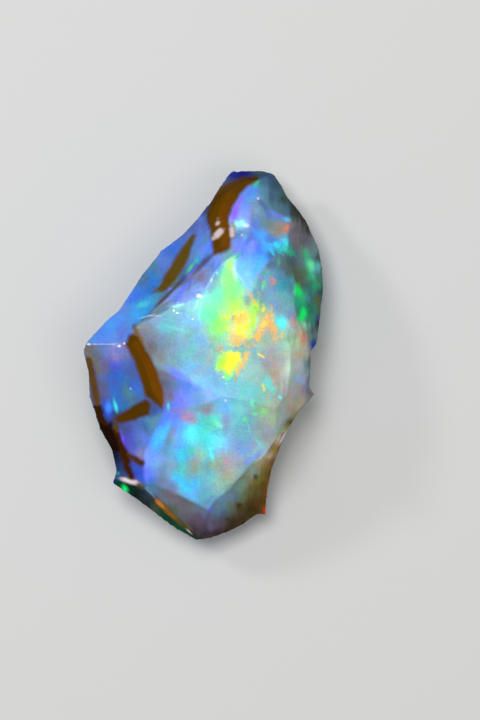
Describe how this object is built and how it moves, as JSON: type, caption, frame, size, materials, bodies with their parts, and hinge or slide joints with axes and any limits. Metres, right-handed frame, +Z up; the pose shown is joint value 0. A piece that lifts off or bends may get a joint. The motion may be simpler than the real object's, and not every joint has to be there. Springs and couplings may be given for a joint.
{
  "type": "rough chalk opal",
  "caption": "Broken lump of rough opal with glassy fracture faces, patches of colour and brown skin, lying on a flat broken underside.",
  "frame": {"origin": "on the surface that the stone lies on, under the middle of its bounding box", "axes": "+Z up out of the surface, +Y along the stone's length towards its narrow end, +X to the right seen from above"},
  "size_m": [0.0182, 0.0282, 0.0126],
  "materials": {
    "opal": "wet-looking milky opal with play of colour, brown ironstone skin in seams and amber thin edges"
  },
  "bodies": {
    "root": {"rough_opal": "opal"}
  },
  "joints": []
}
